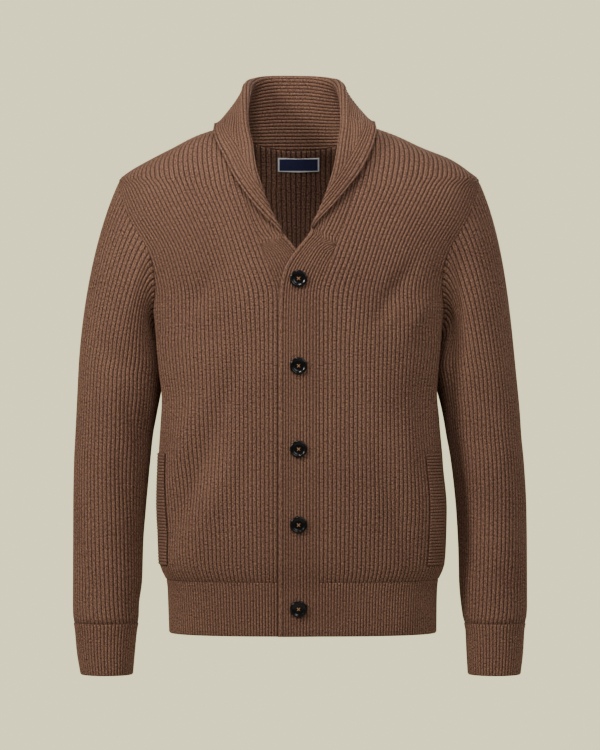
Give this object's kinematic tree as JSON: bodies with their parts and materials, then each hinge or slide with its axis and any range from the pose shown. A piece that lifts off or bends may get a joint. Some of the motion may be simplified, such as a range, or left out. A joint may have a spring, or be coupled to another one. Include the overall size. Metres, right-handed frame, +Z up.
{
  "type": "shawl collar cardigan",
  "caption": "Ribbed knit cardigan with a deep shawl collar turned over a buttoned front band, long sleeves, ribbed cuffs and hem, side pocket welts and round sewn buttons.",
  "frame": {"origin": "middle of the neck opening on the plane of the shoulder seams, level with the back neck seam", "axes": "+Z up; -Y is the way the buttoned front faces, so +Y is the back; +X is the wearer's left"},
  "size_m": [0.6044, 0.2476, 0.802],
  "materials": {
    "ribbed_knit": "heathered brown rib, soft and matte",
    "button_black": "polished black",
    "sewing_thread": "light tan twisted thread",
    "label_weave": "navy woven satin with a white border, left bare"
  },
  "bodies": {
    "root": {"back": "ribbed_knit", "front_left": "ribbed_knit", "front_right": "ribbed_knit", "sleeve_left": "ribbed_knit", "sleeve_right": "ribbed_knit", "cuff_left": "ribbed_knit", "cuff_right": "ribbed_knit", "hem_back": "ribbed_knit", "hem_front_left": "ribbed_knit", "hem_front_right": "ribbed_knit", "band_and_collar": "ribbed_knit", "pocket_welt_left": "ribbed_knit", "pocket_welt_right": "ribbed_knit", "neck_label": "label_weave", "button_1": "button_black", "button_thread_1": "sewing_thread", "button_2": "button_black", "button_thread_2": "sewing_thread", "button_3": "button_black", "button_thread_3": "sewing_thread", "button_4": "button_black", "button_thread_4": "sewing_thread", "button_5": "button_black", "button_thread_5": "sewing_thread"}
  },
  "joints": []
}
